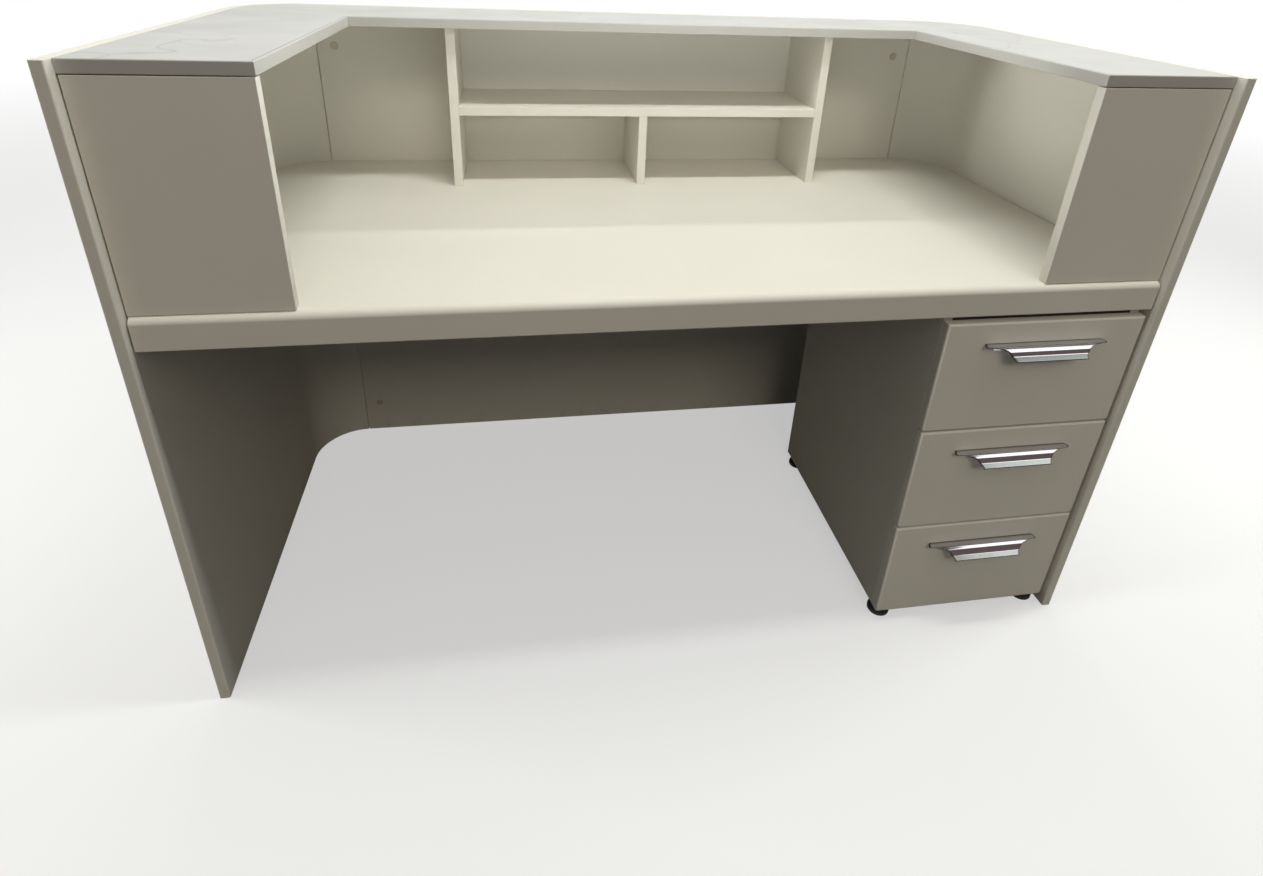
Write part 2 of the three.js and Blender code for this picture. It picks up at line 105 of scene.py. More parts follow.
# The lamps: setting, place and aim from the desk's front line, length and depth
LAMPS = (
    ("overhead", (0.25, -0.03, 2.8), (0.25, -0.03, 0), 1.2, 0.16),
    ("strip", (0.1, 1.76, 2.8), (0.1, 0.25, 0.75), 2.6, 0.08),
    ("near", (0.6, -1.8, 2.8), (0.1, 0.3, 0.8), 2.4, 0.5),
    ("far", (0.2, -7.5, 6.5), (0, 0.3, 0.6), 4.0, 2.0),
    ("recess", (0, 0.05, 1.04), (-0.1, 0.85, 1.75), 0.85, 0.06),
    ("left", (-3.0, 0.5, 1.6), (0, 0.4, 0.95), 0.8, 0.4),
    ("right", (3.0, 0.5, 1.6), (0, 0.4, 0.95), 0.8, 0.4),
    ("rear", (0.4, 4.0, 0.9), (0, 0.8, 0.6), 3.0, 0.4),
)
TUBES = ("overhead", "strip")
FILLS = ("near", "far")


# Sizes, colours and studio settings


def size(name, description, default):
    """A length in metres."""
    return FloatProperty(name=name, description=description, default=default, unit="LENGTH", precision=4)


def angle(name, description, degrees):
    """An angle, given in degrees."""
    return FloatProperty(name=name, description=description, default=math.radians(degrees), subtype="ANGLE")


def number(name, description, default):
    """A plain number."""
    return FloatProperty(name=name, description=description, default=default, precision=4)


def colour(name, description, default):
    """A colour in linear light."""
    return FloatVectorProperty(
        name=name, description=description, default=default, size=3, min=0, max=1, subtype="COLOR"
    )


def place(name, description, default):
    """A point in metres."""
    return FloatVectorProperty(
        name=name, description=description, default=default, size=3, subtype="TRANSLATION"
    )


class DeskSizes(bpy.types.PropertyGroup):
    """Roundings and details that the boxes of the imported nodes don't give."""

    panel_arris: size("Panel arris", "Rounding of the end panels' front edges", 0.003)
    board_arris: size("Board arris", "Rounding of the end panels' top and foot edges", 0.001)
    seam_arris: size("Seam arris", "Bevel of the boards where the end panels meet the centre panel", 0.0006)
    seam_gap: size("Seam gap", "How far each board stands off a seam", 0.0008)
    worktop_slab: size("Worktop slab", "Thickness of the worktop behind its front edge", 0.028)
    worktop_edge: size("Worktop edge depth", "Depth of the worktop's thick front edge", 0.040)
    nose_depth: size("Nose depth", "How far back the rounding of the worktop's nose starts", 0.014)
    nose_drop: size("Nose drop", "How far down that rounding ends", 0.012)
    worktop_gap: size("Worktop gap", "How far the worktop stands off the walls", 0.0018)
    heel_radius: size("Heel radius", "Rounding of the worktop's lower front edge", 0.002)
    counter_arris: size("Counter arris", "Rounding of the counter's free edges", 0.002)
    counter_splay: size("Counter splay", "How much further apart the counter's wings stand in front", 0.010)
    joint_gap: size("Joint gap", "How far boards stand off the walls and the counter", 0.0011)
    joint_arris: size("Joint arris", "Bevel of the counter where it meets the walls", 0.0004)
    mitre_arris: size("Mitre arris", "Bevel of the counter along its mitres", 0.0003)
    mitre_gap: size("Mitre gap", "How far the centre piece stands off a mitre, along the width", 0.00047)
    glue_line: size("Glue line", "Width of the line between the counter's top and its edge band", 0.0022)
    front_foot: size("Drawer front foot", "Height of the foot of a drawer front's side edges", 0.006)
    front_arris: size("Drawer front arris", "Rounding round the face of a drawer's front", 0.004)
    pull_metal: size("Pull metal", "Thickness of the pulls' metal", 0.0025)
    pull_root: size("Pull root", "Depth of the flat strip of a pull next to the drawer", 0.005)
    pull_bend: size("Pull bend", "Radius of a pull's bend", 0.020)
    pull_turn: angle("Pull turn", "Slope of a pull at the end of its bend", 68)
    pull_slope: angle("Lip slope", "Slope of a pull's lip", 33)
    pull_crease: size("Lip crease", "Length of the crease between bend and lip", 0.0020)
    pull_root_half: size("Pull root half length", "Half the pull's length at the drawer", 0.111)
    pull_tip_half: size("Pull tip half length", "Half the pull's length between its tips", 0.1155)
    pull_lip_half: size("Pull lip half length", "Half the pull's length along its lip", 0.0685)
    pull_tip_reach: size("Pull tip reach", "How far out the tips stand", 0.0115)
    pull_tip_round: size("Pull tip rounding", "Corner radius of the tips", 0.002)
    pull_scoop_reach: size("Pull scoop reach", "How far out the scooped ends run", 0.034)
    flange_height: size("Flange height", "Height of the plate behind a pull", 0.013)
    flange_half: size("Flange half length", "Half the length of the plate behind a pull", 0.094)
    foot_rim: size("Foot rim", "Height of a foot's thick rim", 0.009)
    foot_neck: size("Foot neck", "Radius of a foot's neck", 0.011)
    screw_radius: size("Screw head radius", "Radius of the screws that hold the pulls", 0.0042)
    screw_rise: size("Screw head rise", "Height of those screws' heads", 0.0024)
    screw_spread: size("Screw spread", "How far those screws stand from a pull's middle", 0.064)


class DeskColours(bpy.types.PropertyGroup):
    """Colours of the finishes, in linear light."""

    laminate: colour("Laminate", "Satin off-white of the boards", (0.79, 0.768, 0.688))
    # Painted highlight: a lighter tone on the top and side arrises of the drawers' fronts, where the light
    # from above catches them
    edge_band: colour("Edge band", "Rounded edges of the drawers' fronts", (0.92, 0.90, 0.83))
    counter: colour("Counter", "Pale marble grey of the counter's top", (0.53, 0.53, 0.505))
    counter_edge: colour("Counter edge", "Edge band of the counter", (0.52, 0.51, 0.475))
    vein: colour("Counter veins", "Grey of the counter's veins", (0.40, 0.385, 0.38))
    glue: colour("Glue line", "Grey of the line along the counter's edge band", (0.30, 0.29, 0.29))
    carcass: colour("Carcass laminate", "Matt off-white inside the pedestal", (0.76, 0.72, 0.63))
    scuff: colour("Scuffs", "Marks close to the floor", (0.30, 0.27, 0.23))
    batten: colour("Batten wood", "Planed softwood under the worktop", (0.60, 0.45, 0.27))
    batten_ring: colour("Batten rings", "Dark rings of that wood", (0.42, 0.27, 0.13))
    hardboard: colour("Hardboard", "Painted base of a drawer", (0.70, 0.65, 0.55))
    zinc: colour("Zinc", "Plated steel of runners and screws", (0.66, 0.68, 0.70))
    chrome: colour("Chrome", "Plate of the pulls", (0.66, 0.65, 0.67))
    # Painted reflection: the lip's plate is a dimmer, greener copy of the chrome, standing in for what the
    # lip reflects; only its higher roughness is a real finish
    painted_lip_reflection: colour("Satin chrome", "Plate of the pulls' lips", (0.36, 0.381, 0.36))
    # Painted shade: near-black laid where shade falls, in the drawer gaps, on the pedestal top's front and
    # on the pulls' rims, ends and roots
    painted_shade_tone: colour("Raw edge", "Cut edges and roots of the pulls", (0.06, 0.056, 0.055))
    plastic: colour("Black plastic", "Feet", (0.03, 0.03, 0.035))
    cover: colour("Cover plastic", "Caps over the fittings", (0.56, 0.52, 0.44))


class StudioSettings(bpy.types.PropertyGroup):
    """Camera, lamps and surroundings."""

    eye: place("Eye", "Camera, from the middle of the floor line between the end panels' front edges",
               (-0.2843, -0.9552, 1.2502))
    yaw: angle("Yaw", "Turn of the camera to the right of straight ahead", 10.12)
    pitch: angle("Pitch", "Tilt of the camera below the horizon", 25.24)
    roll: angle("Roll", "Turn of the camera about its line of sight", 2.51)
    lens: number("Lens", "Focal length in millimetres, on a 36 mm wide frame", 20.767)
    shift: number("Shift", "Vertical shift of the frame", -0.1220)
    overhead: number("Overhead lamp", "Power of the lamp over the desk's front edge, in watts", 25.0)
    strip: number("Strip lamp", "Power of the narrow lamp behind the counter, in watts", 15.0)
    near: number("Near lamp", "Power of the lamp in front of the desk, in watts", 2.5)
    far: number("Far lamp", "Power of the large lamp far in front, in watts", 132.0)
    recess: number("Recess lamp", "Power of the lamp between the counter's wings, in watts", 1.75)
    left: number("Left lamp", "Power of the lamp at the left, in watts", 36.0)
    right: number("Right lamp", "Power of the lamp at the right, in watts", 40.0)
    rear: number("Rear lamp", "Power of the low lamp on the visitor's side, in watts", 45.0)
    tube_tone: colour("Tube tone", "Colour of the lamps above, beside and behind", (0.98, 1.0, 0.985))
    fill_tone: colour("Fill tone", "Colour of the lamps in front", (1.0, 0.90, 0.76))
    sky: number("Sky", "Strength of the even light from above", 0.35)
    sky_tone: colour("Sky tone", "Colour of that light", (1.0, 0.96, 0.88))
    floor: colour("Floor", "Colour of the floor where it is seen", (0.80, 0.80, 0.79))
    floor_dull: colour("Floor bounce", "Colour of the floor for what it throws back", (0.07, 0.07, 0.067))
    floor_glow: number("Floor paleness", "Share of white in what the camera sees close by", 0.5)
    dark: colour("Dark surround", "What polished metal sees of the room", (0.082, 0.064, 0.062))
    surround: number("Surround", "Strength of what polished metal sees of the room", 1.8)


def settings():
    """The three groups of settings on the scene."""
    scene = bpy.context.scene
    return scene.desk_sizes, scene.desk_colours, scene.desk_studio


# Shapes: whole arrays of points, then one mesh


def span(node):
    """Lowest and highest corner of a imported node."""
    low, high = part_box(node)
    return np.array(low), np.array(high)


def arc(centre, radius, start, stop, steps):
    """Points of a circle: the centre plus the radius times the cosine and sine of evenly spaced angles."""
    turn = np.linspace(start, stop, steps + 1)
    return np.array(centre) + radius * np.stack([np.cos(turn), np.sin(turn)], axis=-1)


def mirrored(outline):
    """The outline with its first coordinate reversed, and its order too, so it still runs anticlockwise."""
    return (outline * [-1, 1])[::-1]


def leaving_angle(start, heading, centre, radius):
    """Angle about a circle's centre at which a line leaves it: the later root of the line's distance
    squared from the centre equal to the radius squared."""
    apart = start - centre
    half = apart @ heading
    end = apart + heading * (np.sqrt(half**2 - apart @ apart + radius**2) - half)
    return np.arctan2(end[1], end[0])


def inset(outline, arris):
    """How far each corner moves in, and how deep its rounding goes.

    The inward normal of an edge is its direction turned a quarter to the left. A corner between edges with
    normals m and n, which move in by p and q, moves by a m + b n, so that its parts along m and n are p
    and q.
    """
    edge = np.roll(outline, -1, axis=0) - outline
    after = np.stack([-edge[:, 1], edge[:, 0]], axis=-1) / np.linalg.norm(edge, axis=-1, keepdims=True)
    before = np.roll(after, 1, axis=0)
    q = np.broadcast_to(arris, len(outline)).astype(float)
    p = np.roll(q, 1)
    cosine = np.clip(np.sum(before * after, axis=-1), -0.99999, 0.99999)
    sine_squared = 1 - cosine**2
    a = (p - cosine * q) / sine_squared
    b = (q - cosine * p) / sine_squared
    return a[:, None] * before + b[:, None] * after, np.maximum(p, q)


def eased(outline, low, high, low_arris, high_arris):
    """Rings of an outline raised from one height to another, with quarter rounds of each edge's own radius.

    At angle t of a quarter round, the outline has moved in by 1 - cos t of its inset, and its height lies
    the radius times 1 - sin t from the end face.
    """
    turn = np.linspace(0, np.pi / 2, ARRIS_STEPS + 1)[:, None]
    rings = []
    for arris, end, sign, order in ((low_arris, low, 1, -1), (high_arris, high, -1, 1)):
        move, depth = inset(outline, arris)
        flat = outline + (1 - np.cos(turn))[..., None] * move
        height = end + sign * (1 - np.sin(turn)) * depth
        rings.append(np.concatenate([flat, height[..., None]], axis=-1)[::order])
    return np.concatenate(rings)


def turned(radii, heights):
    """Rings of a profile turned about the third axis: each radius times the cosine and sine of a turn."""
    turn = np.linspace(0, 2 * np.pi, TURN_STEPS, endpoint=False)
    flat = np.array(radii)[:, None, None] * np.stack([np.cos(turn), np.sin(turn)], axis=-1)
    height = np.broadcast_to(np.array(heights)[:, None, None], (*flat.shape[:2], 1))
    return np.concatenate([flat, height], axis=-1)


def towards_user(rings):
    """Points whose third axis faces the person at the desk: (u, v, w) becomes (u, -w, v)."""
    return np.stack([rings[..., 0], -rings[..., 2], rings[..., 1]], axis=-1)


def towards_visitor(rings):
    """Points whose third axis faces the visitor: (u, v, w) becomes (v, w, u)."""
    return np.stack([rings[..., 1], rings[..., 2], rings[..., 0]], axis=-1)


def closed(rings):
    """Points and faces of a stack of closed rings: quads between neighbours, one flat face on each end."""
    levels, count = rings.shape[:2]
    level, point = np.meshgrid(np.arange(levels - 1), np.arange(count), indexing="ij")
    here = level * count + point
    beside = level * count + (point + 1) % count
    sides = np.stack([here, beside, beside + count, here + count], axis=-1).reshape(-1, 4)
    first = np.arange(count)[::-1]
    last = np.arange(count) + (levels - 1) * count
    return rings.reshape(-1, 3), [*sides.tolist(), first.tolist(), last.tolist()]


def mesh_object(name, shells):
    """One object from closed shells, each with its own points and faces."""
    points, faces, start = [], [], 0
    for shell_points, shell_faces in shells:
        points.append(shell_points)
        faces.extend([[start + index for index in face] for face in shell_faces])
        start += len(shell_points)
    mesh = bpy.data.meshes.new(name)
    mesh.from_pydata(np.concatenate(points).tolist(), [], faces)
    made = bpy.data.objects.new(name, mesh)
    bpy.context.scene.collection.objects.link(made)
    return made


def add_piece(name, stacks, slot, body, replaced=()):
    """A piece from stacks of rings, with its finish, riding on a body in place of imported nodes."""
    made = mesh_object(name, [closed(rings) for rings in stacks])
    mesh = made.data
    mesh.polygons.foreach_set("use_smooth", np.ones(len(mesh.polygons), dtype=bool))
    mesh.set_sharp_from_angle(angle=SHARP)
    even = made.modifiers.new("even_shading", "WEIGHTED_NORMAL")
    even.keep_sharp = True
    mesh.materials.append(finish(slot))
    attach(made, body)
    if replaced:
        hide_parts(*replaced)
    return made


def mark(piece, name, values):
    """Stores one number on each of a piece's points, for its finish."""
    stored = piece.data.attributes.new(name, "FLOAT", "POINT").data
    stored.foreach_set("value", values.ravel().astype(np.float32))


# Finishes


class NodeTree:
    """The nodes of a material or a world being made, with one kind of coordinates."""

    def __init__(self, owner, coordinates):
        owner.use_nodes = True
        self.nodes = owner.node_tree.nodes
        self.links = owner.node_tree.links
        self.place = self.add("ShaderNodeTexCoord").outputs[coordinates]

    def add(self, kind, values=None, links=None, **options):
        """One node, with its options, its constant inputs and the outputs that feed the others."""
        node = self.nodes.new(kind)
        for name, value in options.items():
            setattr(node, name, value)
        for socket, value in (values or {}).items():
            node.inputs[socket].default_value = value
        for socket, source in (links or {}).items():
            self.links.new(source, node.inputs[socket])
        return node

    def stretched(self, scale):
        """The object's coordinates, scaled along each axis."""
        return self.add("ShaderNodeMapping", {"Scale": scale}, {"Vector": self.place}).outputs[0]

    def noise(self, scale, detail=2.0, stretch=None, bend=0.0):
        """Soft noise with so many features to the metre."""
        source = self.stretched(stretch) if stretch else self.place
        values = {"Scale": scale, "Detail": detail, "Distortion": bend}
        return self.add("ShaderNodeTexNoise", values, {"Vector": source}).outputs[0]

    def cracks(self, scale, bend):
        """Distance to the borders of uneven cells, in cells, with the coordinates pushed about by noise."""
        push = self.add("ShaderNodeTexNoise", {"Scale": 3.0, "Detail": 3.0}, {"Vector": self.place})
        links = {0: push.outputs["Color"], 2: self.place}
        moved = self.add("ShaderNodeVectorMath", {1: (bend, bend, bend)}, links, operation="MULTIPLY_ADD")
        links = {"Vector": moved.outputs[0]}
        cells = self.add("ShaderNodeTexVoronoi", {"Scale": scale}, links, feature="DISTANCE_TO_EDGE")
        return cells.outputs["Distance"]

    def range(self, source, low, high, to_low, to_high):
        """The source, taken from one range to another and held inside it."""
        values = {"From Min": low, "From Max": high, "To Min": to_low, "To Max": to_high}
        return self.add("ShaderNodeMapRange", values, {"Value": source}).outputs[0]

    def math(self, operation, *sources, **options):
        """A sum or a product of outputs."""
        links = dict(enumerate(sources))
        return self.add("ShaderNodeMath", None, links, operation=operation, **options).outputs[0]

    def times(self, *sources):
        """The product of two outputs."""
        return self.math("MULTIPLY", *sources)

    def seen_directly(self):
        """One for rays from the camera, from polished metal and through glass, and none for the rest."""
        path = self.add("ShaderNodeLightPath").outputs
        first = self.math("ADD", path["Is Camera Ray"], path["Is Glossy Ray"])
        return self.math("ADD", first, path["Is Transmission Ray"], use_clamp=True)

    def tones(self, source, low, first, high, second):
        """A ramp between two colours."""
        ramp = self.add("ShaderNodeValToRGB", None, {"Fac": source})
        for stop, position, tone in zip(ramp.color_ramp.elements, (low, high), (first, second)):
            stop.position = position
            stop.color = (*tone, 1)
        return ramp.outputs["Color"]

    def over(self, share, under, tone):
        """A plain colour, or another node's, laid over a colour by a share."""
        mix = self.add("ShaderNodeMix", None, {0: share, 6: under}, data_type="RGBA")
        if isinstance(tone, bpy.types.NodeSocket):
            self.links.new(tone, mix.inputs[7])
        else:
            mix.inputs[7].default_value = (*tone, 1)
        return mix.outputs[2]

    def axis(self, name):
        """One of the object's coordinates."""
        return self.add("ShaderNodeSeparateXYZ", None, {0: self.place}).outputs[name]

    def surface(self, output, source):
        """Ends the tree with a shader."""
        self.links.new(source, self.nodes[output].inputs["Surface"])


class Finish(NodeTree):
    """A material being made, with its shader and the object's own coordinates."""

    def __init__(self, name):
        self.material = bpy.data.materials.new(name)
        super().__init__(self.material, "Object")
        self.shader = self.nodes["Principled BSDF"]

    def attribute(self, name):
        """A number stored on the piece's own points."""
        return self.add("ShaderNodeAttribute", attribute_name=name).outputs["Fac"]

    def clouds(self, tone, scale, detail, dark, light):
        """A colour in soft patches, from a darker share of it to a lighter one."""
        return self.tones(self.noise(scale, detail), 0.3, toned(tone, dark), 0.7, toned(tone, light))

    def smudges(self, scale, detail, low, high):
        """Roughness in soft patches between two values."""
        self.feed("Roughness", self.range(self.noise(scale, detail), 0.3, 0.7, low, high))

    def feed(self, socket, source):
        """Feeds one of the shader's inputs."""
        self.links.new(source, self.shader.inputs[socket])

    def set(self, values):
        """Sets the shader's constant inputs."""
        for socket, value in values.items():
            self.shader.inputs[socket].default_value = value

    def relief(self, source, strength, distance):
        """Fine relief from a height."""
        values = {"Strength": strength, "Distance": distance}
        self.feed("Normal", self.add("ShaderNodeBump", values, {"Height": source}).outputs[0])


def toned(tone, share):
    """A colour made lighter or darker."""
    return tuple(min(part * share, 1) for part in tone)


def satin_board(name, tone, gloss):
    """Off-white melamine: slow clouds, a fine printed fleck, smudged gloss, orange peel, scuffs, and a
    painted highlight and painted shade where marked.
    """
    made = Finish(name)
    colours = settings()[1]
    ground = made.clouds(tone, 2.6, 3, 0.965, 1.015)
    ground = made.over(made.range(made.noise(430, 2), 0.45, 0.75, 0, 0.10), ground, toned(tone, 0.72))
    marks = made.range(made.noise(34, 4, stretch=(1, 1, 0.3)), 0.48, 0.72, 0, 0.2)
    near_floor = made.range(made.axis("Z"), 0.002, 0.04, 1, 0)
    # Painted highlight on the drawers' top and side arrises
    ground = made.over(made.attribute("edge_band"), ground, colours.edge_band)
    # Painted shade in the gap under each drawer front
    ground = made.over(made.attribute("gap_shade"), ground, colours.painted_shade_tone)
    made.feed("Base Color", made.over(made.times(marks, near_floor), ground, colours.scuff))
    made.smudges(8, 4, gloss - 0.06, gloss + 0.08)
    made.set({"Specular IOR Level": 0.2})
    made.relief(made.noise(620, 1), 0.10, 0.0004)
    return made


def laminate():
    """The boards' satin laminate."""
    return satin_board("desk_laminate", settings()[1].laminate, 0.48)


def carcass_laminate():
    """The duller laminate inside the pedestal, with painted shade along the front of its top board, in the
    gap over the top drawer.
    """
    front = span("pedestal_top")[0][1]
    made = satin_board("desk_carcass_laminate", settings()[1].carcass, 0.58)
    # Painted shade: near-black across the top board's front, where the gap over the drawers is in shade
    painted_gap_shadow = made.range(made.axis("Y"), front + 0.0002, front + 0.0006, 1, 0)
    ground = made.shader.inputs["Base Color"].links[0].from_socket
    made.feed("Base Color", made.over(painted_gap_shadow, ground, settings()[1].painted_shade_tone))
    return made


def counter_laminate():
    """The counter's laminate: thin grey veins on its top, along the borders of cells, and a glue line."""
    made = Finish("desk_counter_laminate")
    colours = settings()[1]
    edge = made.clouds(colours.counter_edge, 2.6, 3, 0.965, 1.015)
    ground = made.clouds(colours.counter, 3.1, 4, 0.95, 1.03)
    top = span("counter_centre")[1][2]
    on_top = made.range(made.axis("Z"), top - 0.0004, top - 0.0002, 0, 1)
    veins = ((2.3, 0.5, 0.010, 2.3, 0.8), (5.0, 0.3, 0.014, 4.1, 0.5))
    for scale, bend, width, patches, strength in veins:
        vein = made.range(made.cracks(scale, bend), 0.2 * width, width, 1, 0)
        soft = made.range(made.noise(patches, 2), 0.45, 0.65, 0, strength)
        ground = made.over(made.times(vein, soft), ground, colours.vein)
    ground = made.over(on_top, edge, ground)
    made.feed("Base Color", made.over(made.attribute("glue_line"), ground, colours.glue))
    made.smudges(9, 4, 0.30, 0.44)
    made.set({"Specular IOR Level": 0.2})
    made.relief(made.noise(620, 1), 0.08, 0.0004)
    return made


def batten_wood():
    """Planed softwood: rings and pores drawn out along each batten."""
    made = Finish("desk_batten_wood")
    colours = settings()[1]
    rings = made.noise(46, 3, stretch=(1, 0.06, 1), bend=0.6)
    ground = made.tones(rings, 0.38, colours.batten_ring, 0.56, colours.batten)
    pores = made.range(made.noise(420, 2, stretch=(1, 0.05, 1)), 0.55, 0.75, 0, 0.35)
    made.feed("Base Color", made.over(pores, ground, colours.batten_ring))
    made.feed("Roughness", made.range(rings, 0.3, 0.7, 0.62, 0.78))
    made.relief(rings, 0.25, 0.0006)
    return made


def hardboard():
    """Painted hardboard: a mottled ground with fine fibre flecks."""
    made = Finish("desk_hardboard")
    tone = settings()[1].hardboard
    ground = made.clouds(tone, 24, 4, 0.92, 1.04)
    flecks = made.range(made.noise(900, 2), 0.55, 0.75, 0, 0.30)
    made.feed("Base Color", made.over(flecks, ground, toned(tone, 0.6)))
    made.smudges(40, 3, 0.62, 0.80)
    made.relief(made.noise(900, 2), 0.15, 0.0003)
    return made


def runner_steel():
    """Zinc plate: spangle in cells, and drawing lines along the runners."""
    made = Finish("desk_runner_steel")
    tone = settings()[1].zinc
    cells = made.add("ShaderNodeTexVoronoi", {"Scale": 130.0}, {"Vector": made.place}).outputs["Color"]
    spangle = made.add("ShaderNodeSeparateColor", None, {0: cells}).outputs[0]
    lines = made.noise(700, 2, stretch=(1, 0.02, 1))
    ground = made.tones(spangle, 0.0, toned(tone, 0.86), 1.0, toned(tone, 1.05))
    made.feed("Base Color", made.over(made.range(lines, 0.5, 0.7, 0, 0.25), ground, toned(tone, 0.7)))
    made.feed("Roughness", made.range(spangle, 0, 1, 0.26, 0.42))
    made.set({"Metallic": 1.0})
    made.relief(lines, 0.08, 0.0002)
    return made


def chrome():
    """Polished plate: a faint haze where hands touch it and hairlines along the pull, with painted shade on
    its rim, ends and root, and a lip of rougher plate in a dimmer, greener painted reflection tone.
    """
    made = Finish("desk_chrome")
    colours = settings()[1]
    haze = made.noise(38, 3)
    lip = made.attribute("lip")
    plate = made.tones(haze, 0.35, toned(colours.chrome, 0.96), 0.7, toned(colours.chrome, 1.02))
    # Painted reflection tone on the lip
    plate = made.over(lip, plate, colours.painted_lip_reflection)
    # Painted shade and dark reflection on the rim, the ends and the root
    made.feed("Base Color", made.over(made.attribute("cut_edge"), plate, colours.painted_shade_tone))
    polish = made.range(haze, 0.35, 0.75, 0.045, 0.12)
    duller = made.add("ShaderNodeMath", {1: 0.1}, {0: lip, 2: polish}, operation="MULTIPLY_ADD")
    made.feed("Roughness", duller.outputs[0])
    made.set({"Metallic": 1.0})
    made.relief(made.noise(900, 2, stretch=(0.04, 1, 1)), 0.02, 0.0001)
    return made


def moulded(name, tone, gloss):
    """Moulded plastic: a fine spark-eroded grain and slightly uneven colour."""
    made = Finish(name)
    made.feed("Base Color", made.clouds(tone, 60, 3, 0.88, 1.10))
    made.smudges(120, 2, gloss - 0.06, gloss + 0.06)
    made.relief(made.noise(1600, 1), 0.20, 0.0002)
    return made


def black_plastic():
    """The feet's plastic."""
    return moulded("desk_black_plastic", settings()[1].plastic, 0.55)


def cover_plastic():
    """The fitting caps' plastic."""
    return moulded("desk_cover_plastic", settings()[1].cover, 0.50)


FINISHES = {
    "laminate": laminate,
    "counter_laminate": counter_laminate,
    "carcass_laminate": carcass_laminate,
    "batten_wood": batten_wood,
    "hardboard": hardboard,
    "runner_steel": runner_steel,
    "chrome": chrome,
    "black_plastic": black_plastic,
    "cover_plastic": cover_plastic,
}


def finish(slot):
    """The material of a slot, made on first use."""
    return bpy.data.materials.get(f"desk_{slot}") or FINISHES[slot]().material


# Pieces


class DESK_OT_boards(bpy.types.Operator):
    """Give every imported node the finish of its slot"""

    bl_idname = "desk.boards"
    bl_label = "Boards and runners"

    def execute(self, context):
        for part in frame["record"]["subparts"]:
            materials = frame["nodes"][part["node"]].data.materials
            materials.clear()
            materials.append(finish(part["material_slot"]))
        return {"FINISHED"}


class DESK_OT_end_panels(bpy.types.Operator):
    """Make the two end panels, bent round the back corners"""

    bl_idname = "desk.end_panels"
    bl_label = "End panels"

    def execute(self, context):
        sizes = settings()[0]
        low, high = span("right_end_panel")
        seam_low, seam_high = span("centre_front_panel")
        board = seam_high[1] - seam_low[1]
        inside = high[0] - board
        radius = inside - low[0]
        bend = (low[0], high[1] - board - radius)
        r = sizes.panel_arris
        s = sizes.seam_arris
        g = low[0] + sizes.seam_gap
        front = low[1] + r
        seam = [
            (g + s, high[1]),
            (g, high[1] - s),
            (g, high[1] - board + s),
            (g + s, high[1] - board),
        ]
        outline = np.concatenate([
            arc((inside + r, front), r, np.pi, 1.5 * np.pi, CORNER_STEPS),
            arc((high[0] - r, front), r, 1.5 * np.pi, 2 * np.pi, CORNER_STEPS),
            arc(bend, radius + board, 0, np.pi / 2, BEND_STEPS)[:-1],
            seam,
            arc(bend, radius, np.pi / 2, 0, BEND_STEPS)[1:],
        ])
        for side, plan in (("left", mirrored(outline)), ("right", outline)):
            rings = eased(plan, low[2], high[2], sizes.board_arris, sizes.board_arris)
            add_piece(f"{side}_end_panel_bent", [rings], "laminate", "desk", [f"{side}_end_panel"])
        return {"FINISHED"}


class DESK_OT_centre_panel(bpy.types.Operator):
    """Make the flat centre panel between the two seams"""

    bl_idname = "desk.centre_panel"
    bl_label = "Centre panel"

    def execute(self, context):
        sizes = settings()[0]
        low, high = span("centre_front_panel")
        gap, s = sizes.seam_gap, sizes.seam_arris
        half = [
            (high[0] - gap - s, low[1]),
            (high[0] - gap, low[1] + s),
            (high[0] - gap, high[1] - s),
            (high[0] - gap - s, high[1]),
        ]
        outline = np.concatenate([half, mirrored(np.array(half))])
        rings = eased(outline, low[2], high[2], sizes.board_arris, sizes.board_arris)
        add_piece("centre_panel_board", [rings], "laminate", "desk", ["centre_front_panel"])
        return {"FINISHED"}


class DESK_OT_worktop(bpy.types.Operator):
    """Make the worktop with its rounded nose and rear corners"""

    bl_idname = "desk.worktop"
    bl_label = "Worktop"

    def execute(self, context):
        """A profile of depth and height carried along the width, with a quarter ellipse for its nose. Its
        rear points follow the plan: the rear line, less the corner radius, plus the root of that radius
        squared less the reach past the bend squared."""
        sizes = settings()[0]
        low, high = span("worktop")
        bend = span("right_end_panel")[0][0]
        corner = high[1] - (high[0] - bend)
        radius = high[0] - bend - sizes.worktop_gap
        edge = high[2] - low[2]
        shelf = edge - sizes.worktop_slab
        heel = sizes.heel_radius
        front = np.concatenate([
            arc((heel, heel), heel, np.pi, 1.5 * np.pi, CORNER_STEPS),
            [(sizes.worktop_edge, 0), (sizes.worktop_edge, shelf)],
        ])
        nose = np.array([sizes.nose_depth, sizes.nose_drop])
        nose = (0, edge) + nose * arc((1, -1), 1, np.pi / 2, np.pi, 2 * CORNER_STEPS)
        turn = np.linspace(np.pi / 2, 0, BEND_STEPS + 1)
        reach = bend + radius * np.sin(turn)
        width = np.concatenate([-reach, reach[::-1]])
        past = np.maximum(np.abs(width) - bend, 0)
        rear = corner + np.sqrt(np.maximum(radius**2 - past**2, 0))
        depth = np.concatenate([low[1] + front[:, 0], [0, 0], low[1] + nose[:, 0]])
        height = low[2] + np.concatenate([front[:, 1], [shelf, edge], nose[:, 1]])
        rings = np.empty((len(width), len(depth), 3))
        rings[..., 0] = width[:, None]
        rings[..., 1] = depth
        rings[..., 2] = height
        rings[:, len(front):len(front) + 2, 1] = rear[:, None]
        add_piece("worktop_slab", [rings], "laminate", "desk", ["worktop"])
        return {"FINISHED"}


